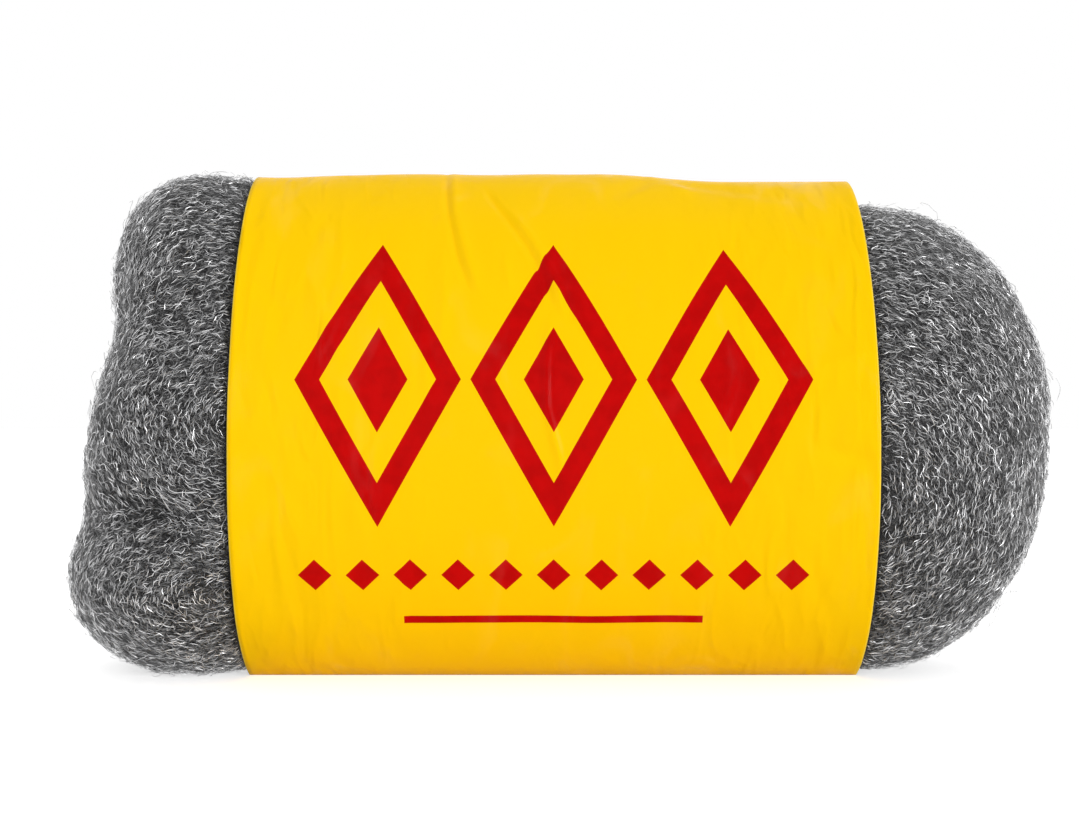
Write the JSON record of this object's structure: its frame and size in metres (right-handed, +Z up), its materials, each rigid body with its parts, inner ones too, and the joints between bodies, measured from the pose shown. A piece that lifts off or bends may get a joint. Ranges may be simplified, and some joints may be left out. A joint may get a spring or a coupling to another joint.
{
  "type": "steel wool pad",
  "caption": "Folded hank of steel wool standing on its long edge, rounded at one end and lobed at the other, held round the middle by a wide printed film band.",
  "frame": {"origin": "on the surface the hank stands on, under the middle of the hank's bounding box", "axes": "+X along the hank towards its single round fold, +Y from its front to the side where the band is glued, +Z up"},
  "size_m": [0.1832, 0.0622, 0.093],
  "materials": {
    "steel_wool": "fine loose steel fibres, metallic grey with dark gaps",
    "printed_film": "yellow film with a soft gloss and a red print on its front and back"
  },
  "bodies": {
    "root": {"steel_wool_hank": "steel_wool", "printed_band": "printed_film"}
  },
  "joints": []
}
